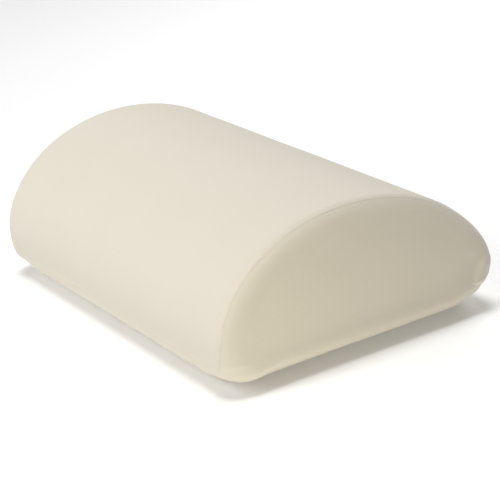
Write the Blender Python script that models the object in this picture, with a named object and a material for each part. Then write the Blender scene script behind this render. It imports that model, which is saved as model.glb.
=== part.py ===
"""Half round bolster: a moulded foam core in a liner, inside a close sewn cover that a zip closes.

The bolster lies on its flat base with its length along Y. The origin is the middle of the base, on the
surface that it rests on, and Z points up. All sizes are in metres and all angles in degrees.

Every soft layer is the same form at another depth, so the form is one function: section_anchor and
end_rounding give its shape, and form_point gives any point at any depth below the outside. The pieces are
lofted through loops of such points.
"""

import math
from collections import namedtuple

import bmesh
import bpy

# Overall size
LENGTH = 0.360
WIDTH = 0.200
HEIGHT = 0.100

# Rounding of the form
BASE_EDGE_RADIUS = 0.023
BASE_EDGE_LEFT_SHARP = 0.001
BASE_END_LENGTH = 0.047
RIM_DEPTH = 0.016
RIM_LENGTH = 0.011
RIM_BLEND_TOP = 10.0
RIM_BLEND_LOW = -30.0

# Layers of cloth, from the outside in
COVER_THICKNESS = 0.0015
LINER_THICKNESS = 0.0008
FIT_GAP = 0.0003
SEAM_TURN = 30.0
LINER_MOUTH_SCALE = 0.62

# Facets of the soft pieces
DOME_STEP = 6.0
EDGE_STEP = 15.0
ROUNDING_STEPS = 6
SMOOTH_BELOW = 40.0

# Zip: lengths along Y, widths along Z from the zip's line, depths along X
ZIP_CORNER_MARGIN = 0.005
SLOT_SIDE_CLEARANCE = 0.0008
TAPE_THICKNESS = 0.0006
TAPE_WIDTH = 0.0127
TAPE_END_MARGIN = 0.006
COIL_THICKNESS = 0.0020
COIL_BACK = 0.0030
COIL_SPINE_WIDTH = 0.0008
COIL_PITCH = 0.0022
COIL_HEAD_WIDTH = 0.0008
COIL_NECK_WIDTH = 0.00055
COIL_HEAD_REACH = 0.00045
TOP_STOP_LENGTH = 0.0064
BOTTOM_STOP_LENGTH = 0.0025
STOP_MARGIN = 0.002

# Zip slider
SLIDER_LENGTH = 0.011
SLIDER_PLATE = 0.0010
SLIDER_FLANGE = 0.0010
SLIDER_FRONT_SPREAD = 0.0009
SLIDER_HEADROOM = 0.0045
WEDGE_HALF_WIDTH = 0.0010
INNER_PLATE_HALF_WIDTH = 0.0036
INNER_PLATE_DROP = 0.0006
BRIDGE_LENGTH = 0.0055
BRIDGE_THICKNESS = 0.0008
BRIDGE_HALF_WIDTH = 0.0010
PULL_THICKNESS = 0.0010
PULL_LENGTH = 0.024
PULL_HALF_WIDTH = 0.0035
PULL_ARM_WIDTH = 0.0010
PULL_EYELET_RADIUS = 0.0013

# How far the zip presses the foam in behind it
PRESS_EASE = 0.0016

# What follows from the sizes above
SIDE_HALF = WIDTH / 2 - BASE_EDGE_RADIUS
DOME_RISE = HEIGHT - 2 * BASE_EDGE_RADIUS
BASE_END_RISE = BASE_EDGE_RADIUS - BASE_EDGE_LEFT_SHARP
SIDE_RADIUS_ABOVE = BASE_EDGE_RADIUS + DOME_RISE**2 / SIDE_HALF
LINER_DEPTH = COVER_THICKNESS + FIT_GAP
CORE_DEPTH = LINER_DEPTH + LINER_THICKNESS + FIT_GAP
TAPE_DEPTH = COVER_THICKNESS + FIT_GAP
TAPE_HALF_LENGTH = LENGTH / 2 - BASE_END_LENGTH - ZIP_CORNER_MARGIN
TAPE_GAP_HALF = WEDGE_HALF_WIDTH + FIT_GAP
TAPE_EDGE = TAPE_GAP_HALF + TAPE_WIDTH
SLOT_HALF_LENGTH = TAPE_HALF_LENGTH - TAPE_END_MARGIN
ZIP_X = WIDTH / 2
ZIP_Z = BASE_EDGE_RADIUS
COIL_BASE = -(TAPE_DEPTH - FIT_GAP)
COIL_TOP = COIL_BASE + COIL_THICKNESS
INNER_PLATE_TOP = -(TAPE_DEPTH + TAPE_THICKNESS + INNER_PLATE_DROP)
INNER_PLATE_BOTTOM = INNER_PLATE_TOP - SLIDER_PLATE
SLIDER_ROOF = COIL_TOP + FIT_GAP
SLIDER_TOP = SLIDER_ROOF + SLIDER_PLATE
CHANNEL_HALF_WIDTH = COIL_BACK + FIT_GAP
SLIDER_HALF_WIDTH = CHANNEL_HALF_WIDTH + SLIDER_FLANGE
SLOT_HALF_WIDTH = SLIDER_HALF_WIDTH + SLIDER_FRONT_SPREAD + SLOT_SIDE_CLEARANCE
SLIDER_REST_Y = SLOT_HALF_LENGTH - SLIDER_HEADROOM - SLIDER_LENGTH / 2
COIL_END_Y = SLIDER_REST_Y + FIT_GAP
BOTTOM_STOP_Y = -SLOT_HALF_LENGTH + STOP_MARGIN
COIL_START_Y = BOTTOM_STOP_Y + BOTTOM_STOP_LENGTH + FIT_GAP
PULL_AXIS_X = SLIDER_TOP + FIT_GAP + PULL_THICKNESS / 2
BRIDGE_UNDERSIDE = PULL_AXIS_X + PULL_THICKNESS / 2 + FIT_GAP
TAPE_PRESS = TAPE_DEPTH + TAPE_THICKNESS + FIT_GAP - LINER_DEPTH
SLIDER_PRESS = -INNER_PLATE_BOTTOM + FIT_GAP - LINER_DEPTH

# A place on the cross-section: the point that its rounding turns about, and the way its surface faces
Station = namedtuple("Station", "x z angle")

# A place along the length: which end, how far round that end's rounding, and a fixed Y on the straight run
Lane = namedtuple("Lane", "end turn y")


def clear_scene():
    """Empties the scene before the bolster is built."""
    for thing in list(bpy.data.objects):
        bpy.data.objects.remove(thing, do_unlink=True)


def material(name, colour, roughness, metallic=0.0):
    """Makes a plain surface of one colour."""
    made = bpy.data.materials.new(name)
    made.use_nodes = True
    shader = made.node_tree.nodes["Principled BSDF"]
    shader.inputs["Base Color"].default_value = (*colour, 1.0)
    shader.inputs["Roughness"].default_value = roughness
    shader.inputs["Metallic"].default_value = metallic
    return made


def add_object(name, mesh_builder, finish, smooth=True):
    """Turns a finished bmesh into a named object and frees it.

    A smooth piece is shaded as a round surface, with its sharp edges kept.
    """
    bmesh.ops.remove_doubles(mesh_builder, verts=mesh_builder.verts, dist=1e-6)
    bmesh.ops.recalc_face_normals(mesh_builder, faces=mesh_builder.faces)
    if mesh_builder.calc_volume(signed=True) < 0:
        bmesh.ops.reverse_faces(mesh_builder, faces=mesh_builder.faces)
    mesh = bpy.data.meshes.new(name)
    mesh_builder.to_mesh(mesh)
    mesh_builder.free()
    mesh.materials.append(finish)
    if smooth:
        mesh.shade_smooth()
        mesh.set_sharp_from_angle(angle=math.radians(SMOOTH_BELOW))
    made = bpy.data.objects.new(name, mesh)
    bpy.context.scene.collection.objects.link(made)
    return made


def even_diagonals(builder):
    """Splits each bent four-sided face along its shorter diagonal, so that neighbouring layers stay parallel."""
    bent = [face for face in builder.faces if len(face.verts) == 4]
    bmesh.ops.triangulate(builder, faces=bent, quad_method="SHORT_EDGE")


def combine(target, operand, operation):
    """Cuts or joins a hidden helper shape into a piece."""
    operand.hide_render = True
    operand.display_type = "WIRE"
    step = target.modifiers.new(operand.name, "BOOLEAN")
    step.operation = operation
    step.object = operand
    step.solver = "EXACT"


def smooth_step(share):
    """Eases from 0 to 1, level at both ends."""
    share = min(max(share, 0.0), 1.0)
    return share * share * (3 - 2 * share)


def section_anchor(angle):
    """Gives the point of the cross-section's skeleton whose surface faces this way.

    Angle 0 faces +X, 90 up and 180 -X. The skeleton is half an ellipse over the dome, and one point in
    each base edge, which the base edge radius grows into a round.
    """
    if angle < 0:
        return SIDE_HALF, BASE_EDGE_RADIUS
    if angle > 180:
        return -SIDE_HALF, BASE_EDGE_RADIUS
    across = SIDE_HALF * math.cos(math.radians(angle))
    up = DOME_RISE * math.sin(math.radians(angle))
    reach = math.hypot(across, up)
    return SIDE_HALF * across / reach, BASE_EDGE_RADIUS + DOME_RISE * up / reach


def station(angle):
    """Makes the station whose surface faces this way."""
    return Station(*section_anchor(angle), angle)


def end_rounding(angle):
    """Gives how deep and how long the rounding of the ends is, at this angle of the cross-section.

    It is an even soft rim over the dome, and grows into the longer corner of the base.
    """
    facing_up = angle if angle <= 90 else 180 - angle
    share = smooth_step((RIM_BLEND_TOP - facing_up) / (RIM_BLEND_TOP - RIM_BLEND_LOW))
    depth = RIM_DEPTH + (BASE_END_RISE - RIM_DEPTH) * share
    length = RIM_LENGTH + (BASE_END_LENGTH - RIM_LENGTH) * share
    return depth, length


def form_point(place, lane, depth_below):
    """Gives a point of the surface that lies this far below the outside."""
    depth, length = end_rounding(place.angle)
    turn = math.radians(lane.turn)
    inward = depth_below + (depth - depth_below) * (1 - math.cos(turn))
    if lane.y is None:
        y = lane.end * (LENGTH / 2 - depth_below - (length - depth_below) * (1 - math.sin(turn)))
    else:
        y = lane.y
    grown = BASE_EDGE_RADIUS - inward
    facing = math.radians(place.angle)
    return place.x + grown * math.cos(facing), y, place.z + grown * math.sin(facing)


def seam_lane(place, end, beyond):
    """Gives the lane at an end seam, half a gap before it or beyond it."""
    depth, length = end_rounding(place.angle)
    seam = math.radians(SEAM_TURN)
    speed = math.hypot(depth * math.sin(seam), length * math.cos(seam))
    shift = math.degrees(FIT_GAP / 2 / speed)
    return Lane(end, SEAM_TURN + shift if beyond else SEAM_TURN - shift, None)


def zip_angle(width):
    """Turns a width along the cross-section, from the zip's line, into a facing angle."""
    radius = SIDE_RADIUS_ABOVE if width > 0 else BASE_EDGE_RADIUS
    return math.degrees(width / radius)


def press_breaks():
    """Lists (width from the zip's line, how far the foam is pressed in there), without the signs."""
    slider_edge = SLIDER_HALF_WIDTH + FIT_GAP
    return [
        (0.0, SLIDER_PRESS),
        (slider_edge, SLIDER_PRESS),
        (slider_edge + PRESS_EASE, TAPE_PRESS),
        (TAPE_EDGE + FIT_GAP, TAPE_PRESS),
        (TAPE_EDGE + FIT_GAP + PRESS_EASE, 0.0),
    ]


def pressed_in(place, lane):
    """Gives how far the zip presses the foam in at this place."""
    breaks = press_breaks()
    if lane.y is None or abs(lane.y) > TAPE_HALF_LENGTH + FIT_GAP:
        return 0.0
    if place.angle < zip_angle(-breaks[-1][0]) or place.angle > zip_angle(breaks[-1][0]):
        return 0.0
    radius = SIDE_RADIUS_ABOVE if place.angle > 0 else BASE_EDGE_RADIUS
    width = abs(math.radians(place.angle)) * radius
    for (near, near_press), (far, far_press) in zip(breaks, breaks[1:]):
        if width <= far + 1e-9:
            share = (width - near) / (far - near)
            return near_press + (far_press - near_press) * share
    return 0.0


def steps(start, stop, step):
    """Lists evenly spaced values from start to stop, both included."""
    count = max(1, round(abs(stop - start) / step))
    return [start + (stop - start) * n / count for n in range(count + 1)]


def ring_angles():
    """Lists the facing angles of the whole cross-section, from one base tangent over the dome to the other.

    The places where the zip presses the foam in have angles of their own, so all layers share their facets.
    """
    even = steps(-90, 0, EDGE_STEP) + steps(0, 180, DOME_STEP)[1:] + steps(180, 270, EDGE_STEP)[1:]
    breaks = [width for width, _ in press_breaks() if width > 0] + [SLOT_HALF_WIDTH]
    own = [zip_angle(sign * width) for width in breaks for sign in (-1, 1)]
    kept = [a for a in even if all(abs(a - b) > DOME_STEP / 4 for b in own)]
    return sorted(kept + own)


def stations_between(start, stop):
    """Lists the stations from one facing angle to another, both included."""
    inner = [a for a in ring_angles() if start + 0.5 < a < stop - 0.5]
    return [station(a) for a in [start] + inner + [stop]]


def end_lanes(end, last_turn=90.0):
    """Lists the lanes round one end's rounding, from the straight run outwards."""
    return [Lane(end, turn, None) for turn in steps(0, last_turn, 90 / ROUNDING_STEPS)]


def straight_lanes():
    """Lists the lanes on the straight run where the zip's press starts and ends."""
    held = TAPE_HALF_LENGTH + FIT_GAP
    eased = held + PRESS_EASE
    return [Lane(0, 0.0, y) for y in (-eased, -held, held, eased)]


def loft(builder, loops, cap_start=True, cap_end=True):
    """Joins closed loops of points, each to the next, and closes the two ends with flat faces."""
    rings = [[builder.verts.new(point) for point in points] for points in loops]
    for near, far in zip(rings, rings[1:]):
        for n, corner in enumerate(near):
            after = (n + 1) % len(near)
            builder.faces.new((corner, near[after], far[after], far[n]))
    if cap_start:
        builder.faces.new(rings[0])
    if cap_end:
        builder.faces.new(rings[-1])
    return rings


def loft_strip(builder, loops):
    """Lofts the loops of a bent strip, whose two ends are closed by a row of four-sided faces."""
    rings = loft(builder, loops, cap_start=False, cap_end=False)
    for corners in (rings[0], rings[-1]):
        half = len(corners) // 2
        outer, inner = corners[:half], corners[half:][::-1]
        for n in range(half - 1):
            builder.faces.new((outer[n], outer[n + 1], inner[n + 1], inner[n]))


def strip_loop(places, lane_of, outer_depth, inner_depth):
    """Gives the closed loop of a bent strip's cross-section: out along one face and back along the other."""
    outer = [form_point(place, lane_of(place), outer_depth) for place in places]
    inner = [form_point(place, lane_of(place), inner_depth) for place in places]
    return outer + inner[::-1]


def sleeve_panel(name, places, finish):
    """Makes a panel of the sleeve, which runs from one end seam to the other."""
    lanes = []
    for end in (-1, 1):
        turns = [lane.turn for lane in end_lanes(end) if lane.turn < SEAM_TURN - 1]
        own = [lambda place, end=end, turn=turn: Lane(end, turn, None) for turn in turns]
        own.append(lambda place, end=end: seam_lane(place, end, beyond=False))
        lanes += own[::-1] if end < 0 else own
    builder = bmesh.new()
    loft_strip(builder, [strip_loop(places, lane_of, 0.0, COVER_THICKNESS) for lane_of in lanes])
    even_diagonals(builder)
    return add_object(name, builder, finish)


def end_panel(name, end, finish):
    """Makes the half moon panel that closes one end of the cover."""
    places = [station(angle) for angle in ring_angles()]
    turns = [lane.turn for lane in end_lanes(end) if lane.turn > SEAM_TURN + 1]

    def loops(depth_below):
        first = [form_point(place, seam_lane(place, end, beyond=True), depth_below) for place in places]
        rest = [[form_point(place, Lane(end, turn, None), depth_below) for place in places] for turn in turns]
        return [first] + rest

    builder = bmesh.new()
    loft(builder, loops(COVER_THICKNESS)[::-1] + loops(0.0))
    even_diagonals(builder)
    return add_object(name, builder, finish)


def layer_loops(depth_below):
    """Lists the loops of a whole closed layer, pressed in behind the zip."""
    places = [station(angle) for angle in ring_angles()]
    lanes = end_lanes(-1)[::-1] + straight_lanes() + end_lanes(1)
    return [
        [form_point(place, lane, depth_below + pressed_in(place, lane)) for place in places]
        for lane in lanes
    ]


def mouth_loop(loop):
    """Gives the edge of the liner's mouth, drawn in from the loop that bounds the end face."""
    middle = HEIGHT / 2
    return [
        (x * LINER_MOUTH_SCALE, y, middle + (z - middle) * LINER_MOUTH_SCALE) for x, y, z in loop
    ]


def foam_core(finish):
    """Makes the moulded foam block."""
    builder = bmesh.new()
    loft(builder, layer_loops(CORE_DEPTH))
    even_diagonals(builder)
    return add_object("foam_core", builder, finish)


def inner_liner(finish):
    """Makes the knitted slip over the foam, with its mouth at the far end."""
    inner = layer_loops(LINER_DEPTH + LINER_THICKNESS)
    outer = layer_loops(LINER_DEPTH)
    builder = bmesh.new()
    loft(builder, inner + [mouth_loop(inner[-1]), mouth_loop(outer[-1])] + outer[::-1])
    even_diagonals(builder)
    return add_object("inner_liner", builder, finish)


def box(name, low, high, finish, round_edges=0.0):
    """Makes a box between two corners, with its edges rounded off."""
    builder = bmesh.new()
    bmesh.ops.create_cube(builder, size=1.0)
    for corner in builder.verts:
        corner.co = [(a + b) / 2 + c * (b - a) for a, b, c in zip(low, high, corner.co)]
    if round_edges:
        bmesh.ops.bevel(
            builder, geom=builder.edges[:], offset=round_edges, segments=1, profile=0.5, affect="EDGES"
        )
    return add_object(name, builder, finish, smooth=False)


def prism(name, outline, low, high, finish, round_top=0.0):
    """Makes a flat shape from an outline in Y and Z, raised along X from low to high."""
    builder = bmesh.new()
    floor = builder.faces.new([builder.verts.new((low, y, z)) for y, z in outline])
    raised = bmesh.ops.extrude_face_region(builder, geom=[floor])["geom"]
    top_points = [part for part in raised if isinstance(part, bmesh.types.BMVert)]
    bmesh.ops.translate(builder, verts=top_points, vec=(high - low, 0.0, 0.0))
    if round_top:
        rim = [edge for edge in builder.edges if all(corner in top_points for corner in edge.verts)]
        bmesh.ops.bevel(builder, geom=rim, offset=round_top, segments=2, profile=0.5, affect="EDGES")
    return add_object(name, builder, finish, smooth=False)


def mirrored_outline(side):
    """Closes an outline that is given for positive Z only, from the front to the back."""
    return side + [(y, -z) for y, z in reversed(side)]


def cover(finish):
    """Makes the four sewn panels of the cover, with the slot for the zip."""
    seam = zip_angle(FIT_GAP / 2)
    top = sleeve_panel("cover_top_panel", stations_between(seam, 270.0), finish)
    base_start = Station(-SIDE_HALF + FIT_GAP, BASE_EDGE_RADIUS, 270.0)
    base_places = [base_start] + stations_between(-90.0, zip_angle(-FIT_GAP / 2))
    base = sleeve_panel("cover_base_panel", base_places, finish)
    slot_depth = BASE_EDGE_RADIUS / 2
    slot = box(
        "zip_slot_cutter",
        (ZIP_X - slot_depth, -SLOT_HALF_LENGTH, ZIP_Z - SLOT_HALF_WIDTH),
        (ZIP_X + slot_depth, SLOT_HALF_LENGTH, ZIP_Z + SLOT_HALF_WIDTH),
        finish,
    )
    combine(top, slot, "DIFFERENCE")
    combine(base, slot, "DIFFERENCE")
    end_panel("cover_end_panel_near", -1, finish)
    end_panel("cover_end_panel_far", 1, finish)


def zip_tape(name, side, finish):
    """Makes one woven tape, which follows the form just inside the cover."""
    near, far = zip_angle(side * TAPE_GAP_HALF), zip_angle(side * TAPE_EDGE)
    places = stations_between(min(near, far), max(near, far))
    lanes = [Lane(0, 0.0, -TAPE_HALF_LENGTH), Lane(0, 0.0, TAPE_HALF_LENGTH)]
    builder = bmesh.new()
    loops = [
        strip_loop(places, lambda place, lane=lane: lane, TAPE_DEPTH, TAPE_DEPTH + TAPE_THICKNESS)
        for lane in lanes
    ]
    loft_strip(builder, loops)
    return add_object(name, builder, finish)


def coil_outline(side, shift):
    """Draws one row of the zip's coil from outside: a spine along its back, and a turn at every pitch.

    Each turn has a narrow neck and a wider head, and the heads of the two rows reach past the middle
    between each other.
    """
    count = int((COIL_END_Y - COIL_START_Y - shift) / COIL_PITCH)
    spine = COIL_BACK - COIL_SPINE_WIDTH
    outline = [(COIL_START_Y, COIL_BACK), (COIL_START_Y, spine)]
    for n in range(count):
        middle = COIL_START_Y + shift + (n + 0.5) * COIL_PITCH
        neck, head = COIL_NECK_WIDTH / 2, COIL_HEAD_WIDTH / 2
        outline += [
            (middle - neck, spine),
            (middle - head, COIL_HEAD_REACH),
            (middle - neck, -COIL_HEAD_REACH),
            (middle + neck, -COIL_HEAD_REACH),
            (middle + head, COIL_HEAD_REACH),
            (middle + neck, spine),
        ]
    outline += [(COIL_END_Y, spine), (COIL_END_Y, COIL_BACK)]
    return [(y, ZIP_Z + side * z) for y, z in outline]


def zip_coils(finish):
    """Makes the two meshed rows of the nylon coil."""
    prism("zip_coil_upper", coil_outline(1, 0.0), ZIP_X + COIL_BASE, ZIP_X + COIL_TOP, finish)
    prism("zip_coil_lower", coil_outline(-1, COIL_PITCH / 2), ZIP_X + COIL_BASE, ZIP_X + COIL_TOP, finish)


def zip_stops(finish):
    """Makes the two small stops in the slider's mouth and the one clamped over both rows at the other end."""
    inner = WEDGE_HALF_WIDTH + FIT_GAP
    edge = FIT_GAP / 2
    for name, side in (("zip_top_stop_upper", 1), ("zip_top_stop_lower", -1)):
        low, high = sorted((side * inner, side * COIL_BACK))
        box(
            name,
            (ZIP_X + COIL_BASE, COIL_END_Y + FIT_GAP, ZIP_Z + low),
            (ZIP_X + COIL_TOP, COIL_END_Y + FIT_GAP + TOP_STOP_LENGTH, ZIP_Z + high),
            finish,
            round_edges=edge,
        )
    box(
        "zip_bottom_stop",
        (ZIP_X + COIL_BASE, BOTTOM_STOP_Y, ZIP_Z - COIL_BACK),
        (ZIP_X + COIL_TOP + FIT_GAP, BOTTOM_STOP_Y + BOTTOM_STOP_LENGTH, ZIP_Z + COIL_BACK),
        finish,
        round_edges=edge,
    )


def slider_shield(half_width):
    """Draws the slider's plan: square at the back, with two shoulders that spread at the front."""
    front, back = SLIDER_LENGTH / 2, -SLIDER_LENGTH / 2
    spread = half_width + SLIDER_FRONT_SPREAD
    corner = SLIDER_FRONT_SPREAD
    return mirrored_outline(
        [
            (front, spread - 2 * corner),
            (front - corner, spread - corner / 3),
            (front - 2 * corner, spread),
            (front - SLIDER_LENGTH / 2, half_width),
            (back + corner, half_width),
            (back, half_width - corner),
        ]
    )


def wedge_outline():
    """Draws the wedge between the two mouths, pointed towards the meshed rows."""
    front = SLIDER_LENGTH / 2 - SLIDER_FRONT_SPREAD
    tip = 2 * FIT_GAP
    return mirrored_outline(
        [(front, WEDGE_HALF_WIDTH), (tip + 2 * WEDGE_HALF_WIDTH, WEDGE_HALF_WIDTH), (tip, FIT_GAP / 3)]
    )


def channel_outline():
    """Draws the way through the slider that the two rows take."""
    reach = SLIDER_LENGTH
    front = SLIDER_LENGTH / 2
    return mirrored_outline(
        [
            (reach, CHANNEL_HALF_WIDTH + SLIDER_FRONT_SPREAD),
            (front, CHANNEL_HALF_WIDTH + SLIDER_FRONT_SPREAD / 2),
            (0.0, CHANNEL_HALF_WIDTH),
            (-reach, CHANNEL_HALF_WIDTH),
        ]
    )


def bridge(name, finish):
    """Makes the low arch on the slider's top that holds the pull."""
    builder = bmesh.new()
    half = BRIDGE_LENGTH / 2
    foot = SLIDER_TOP - SLIDER_PLATE / 2
    crown = BRIDGE_UNDERSIDE + BRIDGE_THICKNESS

    def arch(reach, peak):
        bend = min(peak - SLIDER_TOP, reach) * 0.6
        curve = [
            (peak - bend * (1 - math.sin(turn)), reach - bend * (1 - math.cos(turn)))
            for turn in (math.radians(a) for a in steps(0, 90, 15))
        ]
        half_way = [(foot, reach)] + curve
        return half_way + [(x, -y) for x, y in reversed(half_way)]

    outline = arch(half, crown) + arch(half - BRIDGE_THICKNESS, BRIDGE_UNDERSIDE)[::-1]
    side = [builder.verts.new((x, y, -BRIDGE_HALF_WIDTH)) for x, y in outline]
    count = len(side) // 2
    faces = [
        builder.faces.new((side[n], side[n + 1], side[-n - 2], side[-n - 1])) for n in range(count - 1)
    ]
    raised = bmesh.ops.extrude_face_region(builder, geom=faces)["geom"]
    corners = [part for part in raised if isinstance(part, bmesh.types.BMVert)]
    bmesh.ops.translate(builder, verts=corners, vec=(0.0, 0.0, 2 * BRIDGE_HALF_WIDTH))
    return add_object(name, builder, finish, smooth=False)


def zip_slider(finish):
    """Makes the slider: a roofed channel, the wedge, the plate behind the tapes and the bridge."""
    body = prism(
        "zip_slider", slider_shield(SLIDER_HALF_WIDTH), COIL_BASE, SLIDER_TOP, finish, round_top=FIT_GAP
    )
    channel = prism("slider_channel_cutter", channel_outline(), COIL_BASE - FIT_GAP, SLIDER_ROOF, finish)
    wedge = prism(
        "slider_wedge",
        wedge_outline(),
        INNER_PLATE_BOTTOM + SLIDER_PLATE / 2,
        SLIDER_TOP - SLIDER_PLATE / 2,
        finish,
    )
    inner_plate = prism(
        "slider_inner_plate",
        slider_shield(INNER_PLATE_HALF_WIDTH - SLIDER_FRONT_SPREAD),
        INNER_PLATE_BOTTOM,
        INNER_PLATE_TOP,
        finish,
    )
    arch = bridge("slider_bridge", finish)
    combine(body, channel, "DIFFERENCE")
    combine(body, wedge, "UNION")
    combine(body, inner_plate, "UNION")
    combine(body, arch, "UNION")
    for part in (body, channel, wedge, inner_plate, arch):
        part.location = (ZIP_X, SLIDER_REST_Y, ZIP_Z)
    return body


def zip_pull(slider, finish):
    """Makes the pull, which swings on the bar that runs under the slider's bridge.

    Its own origin is on that bar, and it points back along the closed rows.
    """
    half = PULL_THICKNESS / 2
    window = BRIDGE_HALF_WIDTH + FIT_GAP
    arm = window + PULL_ARM_WIDTH
    window_end = -(BRIDGE_LENGTH / 2 + 2 * FIT_GAP)
    shoulder = window_end - 2 * PULL_ARM_WIDTH
    tip = half - PULL_LENGTH
    round_end = [
        (tip + PULL_HALF_WIDTH * (1 - math.cos(turn)), PULL_HALF_WIDTH * math.sin(turn))
        for turn in (math.radians(a) for a in steps(80, 0, 10))
    ]
    plan = mirrored_outline(
        [(half, arm - half), (half / 2, arm), (window_end, arm), (shoulder, PULL_HALF_WIDTH)]
        + [(tip + PULL_HALF_WIDTH, PULL_HALF_WIDTH)]
        + round_end[:-1]
    )
    pull = prism("zip_pull", plan, -half, half, finish)
    opening = box(
        "pull_window_cutter",
        (-2 * PULL_THICKNESS, window_end, -window),
        (2 * PULL_THICKNESS, -half, window),
        finish,
    )
    eyelet_middle = tip + PULL_HALF_WIDTH
    eyelet = prism(
        "pull_eyelet_cutter",
        [
            (
                eyelet_middle + PULL_EYELET_RADIUS * math.cos(math.radians(a)),
                PULL_EYELET_RADIUS * math.sin(math.radians(a)),
            )
            for a in steps(0, 340, 20)
        ],
        -2 * PULL_THICKNESS,
        2 * PULL_THICKNESS,
        finish,
    )
    combine(pull, opening, "DIFFERENCE")
    combine(pull, eyelet, "DIFFERENCE")
    soften = pull.modifiers.new("soft_edges", "BEVEL")
    soften.width = PULL_THICKNESS / 5
    soften.segments = 1
    soften.limit_method = "ANGLE"
    for part in (pull, opening, eyelet):
        part.parent = slider
        part.location = (PULL_AXIS_X, 0.0, 0.0)
    return pull


def build():
    """Builds every piece of the bolster."""
    clear_scene()
    cover_cloth = material("cover_cloth", (0.78, 0.72, 0.60), 0.85)
    liner_knit = material("liner_knit", (0.86, 0.86, 0.84), 0.90)
    foam = material("foam", (0.90, 0.84, 0.62), 0.95)
    tape_weave = material("tape_weave", (0.76, 0.70, 0.58), 0.80)
    nylon = material("nylon", (0.80, 0.75, 0.64), 0.40)
    nickel = material("nickel", (0.62, 0.60, 0.57), 0.28, metallic=1.0)
    foam_core(foam)
    inner_liner(liner_knit)
    cover(cover_cloth)
    zip_tape("zip_tape_upper", 1, tape_weave)
    zip_tape("zip_tape_lower", -1, tape_weave)
    zip_coils(nylon)
    zip_stops(nickel)
    zip_pull(zip_slider(nickel), nickel)


build()
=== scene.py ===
"""Looks of a half round bolster: a foam block in a knitted slip, in a sewn cover that a coil zip closes.

Sizes are in metres and angles in degrees, apart from the lists whose comments say millimetres. The bolster
lies along Y on its flat base, as in the CAD. Every soft piece is a flat grid laid onto one shared form, some
way below its outside, so that panels, slip and foam stay parallel and the seams meet. A cloth simulation of
the whole cover gives how far the taut cloth swells between its seams, and small reliefs add the rolled seams,
the puckers, the corner tucks and the full foot of the real ends.
"""

import logging
import math
from collections.abc import Callable, Mapping
from dataclasses import dataclass, field
from enum import Enum, IntEnum
from functools import cached_property

import bmesh
import bpy
import numpy as np
from mathutils import Matrix, Vector, noise
from mathutils.kdtree import KDTree


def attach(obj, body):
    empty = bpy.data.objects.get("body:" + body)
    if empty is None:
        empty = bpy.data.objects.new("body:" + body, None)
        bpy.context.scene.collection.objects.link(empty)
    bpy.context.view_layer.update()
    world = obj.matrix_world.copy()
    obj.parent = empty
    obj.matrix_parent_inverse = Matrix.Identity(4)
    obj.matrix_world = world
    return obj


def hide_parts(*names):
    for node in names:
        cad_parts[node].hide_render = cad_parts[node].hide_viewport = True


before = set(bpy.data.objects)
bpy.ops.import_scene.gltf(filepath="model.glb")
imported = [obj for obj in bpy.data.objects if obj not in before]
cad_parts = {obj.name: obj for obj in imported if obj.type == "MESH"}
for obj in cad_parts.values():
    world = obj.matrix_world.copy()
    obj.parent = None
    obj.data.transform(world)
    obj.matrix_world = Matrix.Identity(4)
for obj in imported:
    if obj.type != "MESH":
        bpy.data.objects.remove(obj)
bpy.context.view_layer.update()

LOG = logging.getLogger("bolster")
MM = 0.001
BODY = "bolster"
UV_NAME = "laid"
MATH = "ShaderNodeMath"
# Points that lie closer together than this become one.
MERGE_GAP = 0.02 * MM
# Distances below this make no difference to a panel.
HAIR = 0.05 * MM
# An evenly spaced value is left out where a fine one lies within this share of a step.
CROWDED = 0.45


# Small tools


def linear(code: str) -> tuple[float, float, float, float]:
    """Turns an sRGB hex colour into the linear colour that the shaders take.

    Args:
        code: The colour, such as "#e4ded0".

    Returns:
        Red, green, blue and a full alpha.
    """
    shares = [int(code[place : place + 2], 16) / 255 for place in (1, 3, 5)]
    red, green, blue = (s / 12.92 if s <= 0.04045 else ((s + 0.055) / 1.055) ** 2.4 for s in shares)
    return red, green, blue, 1.0


def ease(share: np.ndarray) -> np.ndarray:
    """Eases from 0 to 1, level at both ends, and stays there outside that range."""
    share = np.clip(share, 0.0, 1.0)
    return share * share * (3 - 2 * share)


def spaced(start: float, stop: float, step: float) -> np.ndarray:
    """Spaces values evenly from start to stop, both included, about one step apart."""
    return np.linspace(start, stop, max(1, round(abs(stop - start) / step)) + 1)


def stations(coarse: np.ndarray, fine: np.ndarray) -> np.ndarray:
    """Joins evenly spaced values with fine ones, and drops the even ones that lie among the fine.

    Args:
        coarse: The even values over the whole range.
        fine: The values that have to be kept.

    Returns:
        All kept values in rising order.
    """
    apart = abs(coarse[1] - coarse[0]) * CROWDED
    kept = [value for value in coarse if np.min(np.abs(fine - value)) > apart]
    return np.unique(np.round(np.concatenate([kept, fine]), decimals=7))


def smooth_noise(points: np.ndarray, wave: float, shift: float = 0.0) -> np.ndarray:
    """Gives each point a smooth noise from about -1 to 1, with lumps of a wave's size, moved by the shift."""
    flat = points.reshape(-1, 3) / wave + shift
    return np.array([noise.noise(Vector(point)) for point in flat]).reshape(points.shape[:-1])


def search_tree(points: np.ndarray) -> KDTree:
    """Sorts points for finding the nearest ones.

    Args:
        points: The points, one in each row.

    Returns:
        The tree, which knows each point by its row.
    """
    tree = KDTree(len(points))
    for row, point in enumerate(points):
        tree.insert(point, row)
    tree.balance()
    return tree


def linked(name: str, data: bpy.types.ID) -> bpy.types.Object:
    """Makes an object of a mesh, light or camera and links it to the scene.

    Args:
        name: The object's name.
        data: What it shows.

    Returns:
        The new object.
    """
    made = bpy.data.objects.new(name, data)
    bpy.context.scene.collection.objects.link(made)
    return made


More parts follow.
